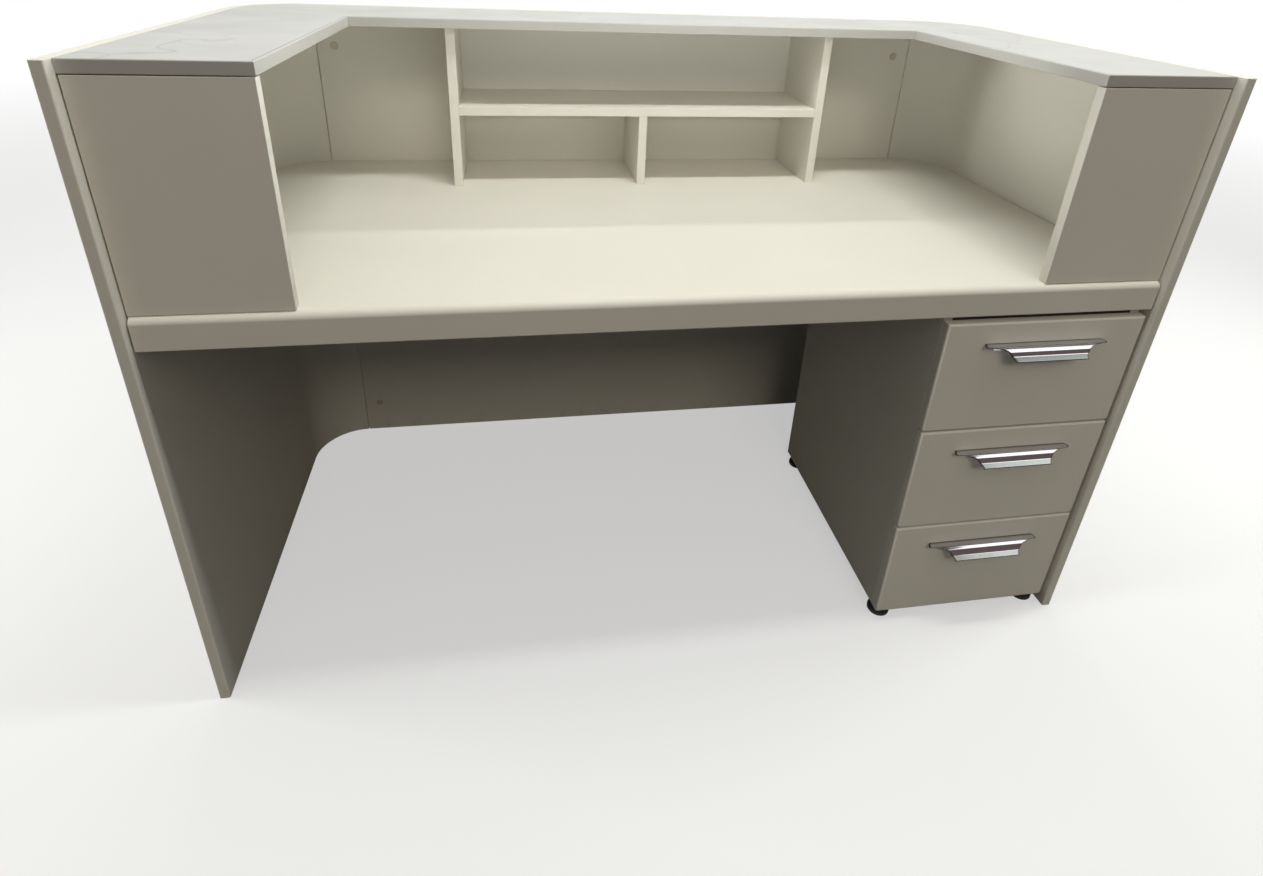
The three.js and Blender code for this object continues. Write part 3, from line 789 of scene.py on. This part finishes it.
class DESK_OT_counter(bpy.types.Operator):
    """Make the three mitred pieces of the counter"""

    bl_idname = "desk.counter"
    bl_label = "Counter"

    def execute(self, context):
        sizes = settings()[0]
        low, high = span("counter_right")
        centre_low, centre_high = span("counter_centre")
        bend_x = span("right_end_panel")[0][0]
        radius = high[0] - bend_x
        bend = np.array([bend_x, centre_high[1] - radius])
        inner = np.array([low[0], centre_low[1]])
        mitre = np.array([high[0], centre_high[1]]) - inner
        mitre /= np.linalg.norm(mitre)
        leaves = leaving_angle(inner, mitre, bend, radius)
        wall = arc(bend, radius, 0, leaves, BEND_STEPS)
        front = [(low[0] + sizes.counter_splay, low[1]), (high[0], low[1])]
        wing = np.concatenate([front, wall, [inner]])
        wing_kinds = ["front", *["wall"] * len(wall), "mitre", "free"]
        lifted = inner - [sizes.mitre_gap, 0]
        leaves = leaving_angle(lifted, mitre, bend, radius)
        half = np.concatenate([[lifted], arc(bend, radius, leaves, np.pi / 2, BEND_STEPS)])
        middle = np.concatenate([half, mirrored(half)])
        middle_kinds = ["mitre", *["wall"] * (2 * len(half) - 3), "mitre", "free"]
        plans = {
            "left": (mirrored(wing), wing_kinds[-2::-1] + wing_kinds[-1:]),
            "centre": (middle, middle_kinds),
            "right": (wing, wing_kinds),
        }
        for name, (outline, kinds) in plans.items():
            self.add(name, outline, kinds, low[2], high[2])
        return {"FINISHED"}

    def add(self, name, outline, kinds, low, high):
        """Raises one piece's outline. The last rings on its top mark the line along the edge band."""
        sizes = settings()[0]
        radii = {"wall": sizes.joint_arris, "mitre": sizes.mitre_arris}
        arris = np.array([radii.get(kind, sizes.counter_arris) for kind in kinds])
        free = np.array([kind == "free" for kind in kinds])
        rings = eased(outline, low, high, np.minimum(arris, sizes.board_arris), arris)
        margins = []
        for share in (0.1, 1.0, 1.1):
            move, _ = inset(outline, arris + share * np.where(free, sizes.glue_line, sizes.mitre_arris))
            margins.append(np.concatenate([outline + move, np.full((len(outline), 1), high)], axis=-1))
        rings = np.concatenate([rings, margins])
        made = add_piece(f"counter_{name}_top", [rings], "counter_laminate", "desk", [f"counter_{name}"])
        line = np.zeros(rings.shape[:2])
        line[-3:-1] = free | np.roll(free, 1)
        mark(made, "glue_line", line)


def eased_board(low, high, radius):
    """Rings of a board: a rectangle whose corners are quarter circles, raised from its foot to its top."""
    r = radius
    outline = np.concatenate([
        arc((high[0] - r, low[1] + r), r, -np.pi / 2, 0, ARRIS_STEPS),
        arc((high[0] - r, high[1] - r), r, 0, np.pi / 2, ARRIS_STEPS),
        arc((low[0] + r, high[1] - r), r, np.pi / 2, np.pi, ARRIS_STEPS),
        arc((low[0] + r, low[1] + r), r, np.pi, 1.5 * np.pi, ARRIS_STEPS),
    ])
    return eased(outline, low[2], high[2], 0.8 * r, 0.8 * r)


class DESK_OT_inner_boards(bpy.types.Operator):
    """Make the wing panels, the organiser's boards and the pedestal's sides"""

    bl_idname = "desk.inner_boards"
    bl_label = "Wings, organiser and pedestal sides"

    def execute(self, context):
        sizes = settings()[0]
        gap = sizes.joint_gap
        room = {
            "left_wing_panel": ((gap, 0, 0), (0, 0, gap)),
            "right_wing_panel": ((0, 0, 0), (gap, 0, gap)),
        }
        boards = [f"organiser_{part}" for part in ("left_upright", "right_upright", "shelf", "divider")]
        for name in [*room, *boards, "pedestal_left_side", "pedestal_right_side"]:
            low, high = span(name)
            at_low, at_high = room.get(name, (0, 0))
            rings = eased_board(low + at_low, high - at_high, sizes.board_arris)
            add_piece(f"{name}_board", [rings], "laminate", "desk", [name])
        return {"FINISHED"}


class DESK_OT_drawer_fronts(bpy.types.Operator):
    """Make the drawers' fronts with rounded arrises"""

    bl_idname = "desk.drawer_fronts"
    bl_label = "Drawer fronts"

    def execute(self, context):
        sizes = settings()[0]
        for level in LEVELS:
            low, high = span(f"drawer_front_{level}")
            heights = (low[2], low[2] + sizes.front_foot, high[2])
            right = [(high[0], height) for height in heights]
            left = [(low[0], height) for height in heights[::-1]]
            outline = np.array(right + left)
            rings = eased(outline, -high[1], -low[1], sizes.board_arris, sizes.front_arris)
            made = add_piece(
                f"drawer_{level}_face",
                [towards_user(rings)],
                "laminate",
                f"drawer_{level}",
                [f"drawer_front_{level}"],
            )
            # Painted highlight on the top and side roundings of each front
            rounding = slice(ARRIS_STEPS + 2, -1)
            band = np.zeros(rings.shape[:2])
            band[rounding, 1:-1] = 1
            mark(made, "edge_band", band)
            # Painted shade on the lower corners, in the gap under each front
            gap = np.zeros(rings.shape[:2])
            gap[rounding, [0, -1]] = GAP_SHADE
            mark(made, "gap_shade", gap)
        return {"FINISHED"}


def pull_section(reach):
    """Section of a pull's upper side: how far out, how far down and how steep it is along its length, and
    how far out the stations of its crease stand.

    The slope is nothing along the root, rises evenly along the bend, falls evenly along the crease to the
    lip's slope and stays there. Distances out and down are running sums of the slope's cosine and sine. The
    lip is as long as the reach asks.
    """
    sizes = settings()[0]
    root, bend, crease = sizes.pull_root, sizes.pull_bend * sizes.pull_turn, sizes.pull_crease
    knots = np.cumsum([0, root, bend, crease, sizes.pull_scoop_reach])
    slopes = [0, 0, sizes.pull_turn, sizes.pull_slope, sizes.pull_slope]
    along = np.linspace(0, knots[-1], SECTION_STEPS)
    slope = np.interp(along, knots, slopes)
    step = along[1]
    middle = (slope[1:] + slope[:-1]) / 2
    out = np.concatenate([[0], np.cumsum(np.cos(middle))]) * step
    down = np.concatenate([[0], np.cumsum(np.sin(middle))]) * step
    crease_out = np.interp(np.linspace(knots[2], knots[3], CORNER_STEPS + 1), along, out)
    inside = out <= reach
    return out[inside], down[inside], slope[inside], crease_out


def pull_rings(centre, face, ledge, reach):
    """Rings of a pull's sheet, stacked from its root to its rim.

    Half its length grows by a parabola from the root to the tips, turns their rounded corners, and then
    falls along a quarter ellipse to the lip. Each ring runs round the sheet: along its upper side, round one
    end by half a turn of half the metal's thickness, back along its under side and round the other end. At
    the rim the rings close in on the sheet's middle by the cosine of a quarter turn while they move on by
    its sine. Two more arrays tell which points lie on the lip, and how much painted shade they carry: full
    along the rim and the two ends, and less and less along the root, as a painted dark reflection of the
    drawer.
    """
    sizes = settings()[0]
    half_metal = sizes.pull_metal / 2
    section_out, section_down, section_slope, crease_out = pull_section(reach)
    scoop_length = sizes.pull_tip_half - sizes.pull_lip_half
    scoop_reach = sizes.pull_scoop_reach - sizes.pull_tip_reach
    corner = sizes.pull_tip_round
    flat = np.linspace(0, sizes.pull_tip_reach - corner, 2 * CORNER_STEPS, endpoint=False)
    turn = np.linspace(0, np.pi / 2, CORNER_STEPS)
    edge_out = np.concatenate([flat, sizes.pull_tip_reach - corner * (1 - np.sin(turn))])
    share = np.minimum(edge_out / sizes.pull_tip_reach, 1)
    growth = (sizes.pull_tip_half - sizes.pull_root_half) * (1 - (1 - share) ** 2)
    trim = np.concatenate([np.zeros(len(flat)), corner * (1 - np.cos(turn))])
    last = np.arccos((sizes.pull_scoop_reach - section_out[-1]) / scoop_reach)
    sweep = np.linspace(np.arcsin(corner / scoop_length), last, SCOOP_STEPS + 1)[1:]
    crease = np.arccos((sizes.pull_scoop_reach - crease_out) / scoop_reach)
    sweep = np.union1d(sweep, crease)
    out = np.concatenate([edge_out, sizes.pull_scoop_reach - scoop_reach * np.cos(sweep)])
    scooped = sizes.pull_tip_half - scoop_length * np.sin(sweep)
    half = np.concatenate([sizes.pull_root_half + growth - trim, scooped])

    close = np.linspace(0, RIM_TURN, CORNER_STEPS + 1)[1:]
    on = np.concatenate([np.zeros(len(out)), half_metal * np.sin(close)])
    thin = np.concatenate([np.ones(len(out)), np.cos(close)])
    out = np.concatenate([out, np.full(len(close), out[-1])])
    half = np.concatenate([half, np.full(len(close), half[-1])])
    down = np.interp(out, section_out, section_down)
    slope = np.interp(out, section_out, section_slope)

    across = np.concatenate([[1], np.linspace(0.97, -0.97, PULL_COLUMNS), [-1]])
    round_end = np.linspace(0, np.pi, CORNER_STEPS + 1)[1:-1]
    still = np.ones(len(round_end))
    along = np.concatenate([across, -still, -across, still])
    end = np.concatenate([0 * across, -np.sin(round_end), 0 * across, np.sin(round_end)])
    up = np.concatenate([1 + 0 * across, np.cos(round_end), -1 + 0 * across, -np.cos(round_end)])

    depth = half_metal * (1 - up * thin[:, None])
    sine, cosine = np.sin(slope)[:, None], np.cos(slope)[:, None]
    rings = np.empty((len(out), len(along), 3))
    rings[..., 0] = centre + along * (half[:, None] - half_metal) + end * half_metal * thin[:, None]
    rings[..., 1] = face - (out[:, None] + on[:, None] * cosine - depth * sine)
    rings[..., 2] = ledge - (down[:, None] + on[:, None] * sine + depth * cosine)
    lip = np.broadcast_to(out[:, None] >= crease_out[-1], rings.shape[:2])
    # Painted shade: full on the rim rings and the end columns, fading out along the root
    painted_darkening = np.maximum((thin < 1)[:, None], np.abs(along) == 1)
    painted_darkening = np.maximum(painted_darkening, np.clip(1 - out / sizes.pull_root, 0, 0.7)[:, None])
    return rings, lip, painted_darkening


class DESK_OT_pulls(bpy.types.Operator):
    """Make the drawers' chromed ledge pulls"""

    bl_idname = "desk.pulls"
    bl_label = "Pulls"

    def execute(self, context):
        sizes = settings()[0]
        for level in LEVELS:
            low, high = span(f"drawer_pull_{level}")
            centre = (low[0] + high[0]) / 2
            face, ledge = high[1], high[2]
            rim = sizes.pull_metal / 2 * (1 - math.sin(sizes.pull_slope))
            sheet, lip, painted_darkening = pull_rings(centre, face, ledge, face - low[1] - rim)
            top = ledge - sizes.pull_metal * 0.9
            foot = ledge - sizes.flange_height
            left, right = centre - sizes.flange_half, centre + sizes.flange_half
            plate = np.array([(left, foot), (right, foot), (right, top), (left, top)])
            arris = sizes.pull_metal / 4
            flange = towards_user(eased(plate, -face, -face + sizes.pull_metal, arris, arris))
            made = add_piece(
                f"drawer_{level}_ledge_pull",
                [sheet, flange],
                "chrome",
                f"drawer_{level}",
                [f"drawer_pull_{level}"],
            )
            plain = np.zeros(flange[..., 0].size)
            mark(made, "lip", np.concatenate([lip.ravel(), plain]))
            # Painted shade on the rim, the ends and the root
            mark(made, "cut_edge", np.concatenate([painted_darkening.ravel(), plain]))
        return {"FINISHED"}


class DESK_OT_feet(bpy.types.Operator):
    """Make the pedestal's turned feet"""

    bl_idname = "desk.feet"
    bl_label = "Feet"

    def execute(self, context):
        sizes = settings()[0]
        for name in [f"pedestal_foot_{row}_{side}" for row in ("front", "rear") for side in SIDES]:
            low, high = span(name)
            radius = (high[0] - low[0]) / 2
            centre = (low + high) / 2
            soft = sizes.foot_rim / 4
            flare = radius - soft - sizes.foot_neck
            edge = radius - soft
            profile = np.concatenate([
                arc((edge, soft), soft, -np.pi / 2, 0, CORNER_STEPS),
                arc((edge, sizes.foot_rim - soft), soft, 0, np.pi / 2, CORNER_STEPS),
                arc((edge, sizes.foot_rim + flare), flare, -np.pi / 2, -np.pi, 2 * CORNER_STEPS)[1:],
                [(sizes.foot_neck, high[2])],
            ])
            rings = turned(profile[:, 0], profile[:, 1]) + [centre[0], centre[1], 0]
            add_piece(f"{name}_glide", [rings], "black_plastic", "desk", [name])
        return {"FINISHED"}


class DESK_OT_covers(bpy.types.Operator):
    """Make the caps over the fittings of the centre panel"""

    bl_idname = "desk.covers"
    bl_label = "Fitting covers"

    def execute(self, context):
        for name in [f"fitting_cover_{row}_{side}" for row in ("lower", "upper") for side in SIDES]:
            low, high = span(name)
            radius = (high[0] - low[0]) / 2
            rise = high[1] - low[1]
            soft = rise * COVER_ROUND
            profile = np.concatenate([
                [(radius, 0)],
                arc((radius - soft, rise - soft), soft, 0, np.pi / 2, CORNER_STEPS),
                np.array(COVER_DISH) * (radius, rise),
            ])
            rings = turned(profile[:, 0], profile[:, 1])
            rings = rings + [(low[0] + high[0]) / 2, (low[2] + high[2]) / 2, -high[1]]
            add_piece(f"{name}_cap", [towards_user(rings)], "cover_plastic", "desk", [name])
        return {"FINISHED"}


class DESK_OT_screws(bpy.types.Operator):
    """Make the screws that hold the pulls, inside the drawers' fronts"""

    bl_idname = "desk.screws"
    bl_label = "Pull screws"

    def execute(self, context):
        """A dome of an ellipse's height, sunk where the angle lies near one of four arms and the radius is
        small. The depth of the cross grows evenly from the border of an arm and from its end."""
        sizes = settings()[0]
        radius, rise = sizes.screw_radius, sizes.screw_rise
        share = np.concatenate([[1.0], np.linspace(1.0, SCREW_MIDDLE, SCREW_RINGS)])
        height = rise * np.sqrt(np.clip(1 + SCREW_RIM - share**2, 0, 1))
        height[0] = 0
        rings = turned(radius * share, height)
        turn = np.arctan2(rings[..., 1], rings[..., 0])
        nearness = np.maximum(np.abs(np.cos(turn)), np.abs(np.sin(turn)))
        arm = np.clip((nearness - CROSS_BORDER) / CROSS_BORDER_FADE, 0, 1)
        arm = np.maximum(arm, share[:, None] < CROSS_CORE)
        inner = np.clip((CROSS_END - share[:, None]) / CROSS_END_FADE, 0, 1)
        rings[..., 2] -= CROSS_DEPTH * rise * arm * inner
        for level in LEVELS:
            low, high = span(f"drawer_pull_{level}")
            inside = span(f"drawer_front_{level}")[1][1]
            for side, reach in (("left", -sizes.screw_spread), ("right", sizes.screw_spread)):
                spot = [high[2] - sizes.flange_height / 2, (low[0] + high[0]) / 2 + reach, inside]
                add_piece(
                    f"drawer_{level}_pull_screw_{side}",
                    [towards_visitor(rings + spot)],
                    "runner_steel",
                    f"drawer_{level}",
                )
        return {"FINISHED"}


# Studio


def sheet_object(name, rings):
    """An open sheet from rows of points."""
    rows, columns = rings.shape[:2]
    row, column = np.meshgrid(np.arange(rows - 1), np.arange(columns - 1), indexing="ij")
    here = row * columns + column
    faces = np.stack([here, here + 1, here + columns + 1, here + columns], axis=-1).reshape(-1, 4)
    made = mesh_object(name, [(rings.reshape(-1, 3), faces.tolist())])
    return made


class DESK_OT_stage(bpy.types.Operator):
    """Set up the camera, the lamps, the floor and the surroundings"""

    bl_idname = "desk.stage"
    bl_label = "Studio"

    def execute(self, context):
        studio = settings()[2]
        front = span("right_end_panel")[0][1]
        context.scene.view_settings.view_transform = "Standard"
        self.camera(context.scene, studio, front)
        for lamp in LAMPS:
            self.lamp(studio, front, *lamp)
        self.world(context.scene, studio)
        self.floor(studio)
        self.surround(studio, front)
        return {"FINISHED"}

    def camera(self, scene, studio, front):
        """The line of sight is turned by the yaw, dipped by the pitch, and the frame rolled about it."""
        yaw, pitch, roll = studio.yaw, studio.pitch, studio.roll
        sight = Vector((math.sin(yaw) * math.cos(pitch), math.cos(yaw) * math.cos(pitch), -math.sin(pitch)))
        level = Vector((math.cos(yaw), -math.sin(yaw), 0))
        plumb = level.cross(sight)
        right = level * math.cos(roll) + plumb * math.sin(roll)
        up = plumb * math.cos(roll) - level * math.sin(roll)
        data = bpy.data.cameras.new("photo_camera")
        data.sensor_fit = "HORIZONTAL"
        data.sensor_width = 36
        data.lens = studio.lens
        data.shift_y = studio.shift
        camera = bpy.data.objects.new("photo_camera", data)
        turn = Matrix((right, up, -sight)).transposed().to_4x4()
        camera.matrix_world = Matrix.Translation(Vector(studio.eye) + Vector((0, front, 0))) @ turn
        scene.collection.objects.link(camera)
        scene.camera = camera

    def lamp(self, studio, front, name, spot, target, length, depth):
        """A flat lamp, long side level, turned from its spot to its target."""
        data = bpy.data.lights.new(f"{name}_lamp", "AREA")
        data.shape = "RECTANGLE"
        data.size = length
        data.size_y = depth
        data.energy = getattr(studio, name)
        data.color = studio.fill_tone if name in FILLS else studio.tube_tone
        lamp = bpy.data.objects.new(f"{name}_lamp", data)
        lamp.location = Vector(spot) + Vector((0, front, 0))
        lamp.rotation_euler = (Vector(target) - Vector(spot)).to_track_quat("-Z", "Y").to_euler()
        lamp.visible_glossy = name in TUBES
        lamp.visible_camera = False
        bpy.context.scene.collection.objects.link(lamp)

    def world(self, scene, studio):
        """Even light from above that fades towards the horizon, white where it is seen directly."""
        scene.world = bpy.data.worlds.new("studio")
        made = NodeTree(scene.world, "Generated")
        even = made.nodes["Background"]
        even.inputs["Color"].default_value = (*studio.sky_tone, 1)
        made.links.new(made.range(made.axis("Z"), *SKY_FADE, 0, studio.sky), even.inputs["Strength"])
        white = made.add("ShaderNodeBackground", {"Color": (1, 1, 1, 1)}).outputs[0]
        links = {0: made.seen_directly(), 1: even.outputs[0], 2: white}
        made.surface("World Output", made.add("ShaderNodeMixShader", None, links).outputs[0])

    def floor(self, studio):
        """A level sheet. Seen directly, it turns white with distance and keeps the shadow close by."""
        reach = np.array([-FLOOR_REACH, FLOOR_REACH])
        points = np.zeros((2, 2, 3))
        points[..., 0] = reach
        points[..., 1] = reach[:, None]
        made = Finish("studio_floor")
        made.set({"Roughness": 0.7})
        seen = made.seen_directly()
        bounce = made.clouds(studio.floor_dull, 3, 3, 0.97, 1)
        made.feed("Base Color", made.over(seen, bounce, studio.floor))
        length = made.add("ShaderNodeVectorMath", None, {0: made.place}, operation="LENGTH")
        distance = length.outputs["Value"]
        far = made.range(distance, *FLOOR_FADE, 0, 1)
        close = made.range(distance, *FLOOR_FADE, studio.floor_glow, 0)
        by_eye = made.add("ShaderNodeLightPath").outputs["Is Camera Ray"]
        glow = made.math("MULTIPLY_ADD", by_eye, close, far)
        white = made.add("ShaderNodeEmission", {"Color": (1, 1, 1, 1), "Strength": 1.0}).outputs[0]
        links = {0: made.times(seen, glow), 1: made.shader.outputs[0], 2: white}
        made.surface("Material Output", made.add("ShaderNodeMixShader", None, links).outputs[0])
        sheet_object("studio_floor", points).data.materials.append(made.material)

    def surround(self, studio, front):
        """A wall and ceiling that only polished metal sees: a profile of wall, quarter round and ceiling
        carried along the width. It is dark, with two bright fields on either side of a slanting band."""
        wall = front + SURROUND_WALL
        centre = (wall + SURROUND_BEND, SURROUND_CEILING - SURROUND_BEND)
        bend = arc(centre, SURROUND_BEND, np.pi, np.pi / 2, 2 * CORNER_STEPS)
        ends = ((wall, SURROUND_FOOT), (front + SURROUND_REAR, SURROUND_CEILING))
        profile = np.concatenate([ends[:1], bend, ends[1:]])
        points = np.empty((2, len(profile), 3))
        points[..., 0] = np.array(SURROUND_SIDES)[:, None]
        points[..., 1:] = profile
        made = Finish("studio_surround")
        slant = made.add(
            "ShaderNodeVectorMath", {1: (1, FIELD_SLANT, 0)}, {0: made.place}, operation="DOT_PRODUCT"
        ).outputs["Value"]
        depth = made.axis("Y")
        right = made.range(slant, *np.add(FIELD_RIGHT, FIELD_SLANT * front), 0, 1)
        left = made.range(slant, *np.add(FIELD_LEFT, FIELD_SLANT * front), 1, 0)
        near = made.range(depth, *np.add(FIELD_NEAR, front), 0, 1)
        rear = made.range(depth, *np.add(FIELD_REAR, front), 1, 0)
        field = made.times(made.times(made.math("ADD", left, right), near), rear)
        tone = made.tones(field, 0, studio.dark, 1, (1, 1, 1))
        light = made.add("ShaderNodeEmission", {"Strength": studio.surround}, {"Color": tone})
        made.surface("Material Output", light.outputs[0])
        cove = sheet_object("studio_surround", points)
        cove.data.materials.append(made.material)
        cove.visible_camera = False
        cove.visible_diffuse = False
        cove.visible_shadow = False
        cove.visible_transmission = False
        cove.visible_volume_scatter = False


OPERATORS = (
    DESK_OT_stage,
    DESK_OT_boards,
    DESK_OT_end_panels,
    DESK_OT_centre_panel,
    DESK_OT_worktop,
    DESK_OT_counter,
    DESK_OT_inner_boards,
    DESK_OT_drawer_fronts,
    DESK_OT_pulls,
    DESK_OT_feet,
    DESK_OT_covers,
    DESK_OT_screws,
)


class DESK_PT_desk(bpy.types.Panel):
    """Buttons for the desk's pieces, with their settings"""

    bl_idname = "DESK_PT_desk"
    bl_label = "Reception desk"
    bl_space_type = "VIEW_3D"
    bl_region_type = "UI"
    bl_category = "Desk"

    def draw(self, context):
        for operator in OPERATORS:
            self.layout.operator(operator.bl_idname)
        for group in settings():
            column = self.layout.column(align=True)
            for name in group.__annotations__:
                column.prop(group, name)


CLASSES = (DeskSizes, DeskColours, StudioSettings, *OPERATORS, DESK_PT_desk)


def register():
    """Adds the classes, and the settings to the scene."""
    for made in CLASSES:
        bpy.utils.register_class(made)
    bpy.types.Scene.desk_sizes = PointerProperty(type=DeskSizes)
    bpy.types.Scene.desk_colours = PointerProperty(type=DeskColours)
    bpy.types.Scene.desk_studio = PointerProperty(type=StudioSettings)


def unregister():
    """Takes them away again."""
    del bpy.types.Scene.desk_studio
    del bpy.types.Scene.desk_colours
    del bpy.types.Scene.desk_sizes
    for made in reversed(CLASSES):
        bpy.utils.unregister_class(made)


def main():
    """Makes the studio and every piece."""
    register()
    bpy.ops.desk.stage()
    bpy.ops.desk.boards()
    bpy.ops.desk.end_panels()
    bpy.ops.desk.centre_panel()
    bpy.ops.desk.worktop()
    bpy.ops.desk.counter()
    bpy.ops.desk.inner_boards()
    bpy.ops.desk.drawer_fronts()
    bpy.ops.desk.pulls()
    bpy.ops.desk.feet()
    bpy.ops.desk.covers()
    bpy.ops.desk.screws()


if __name__ == "__main__":
    main()
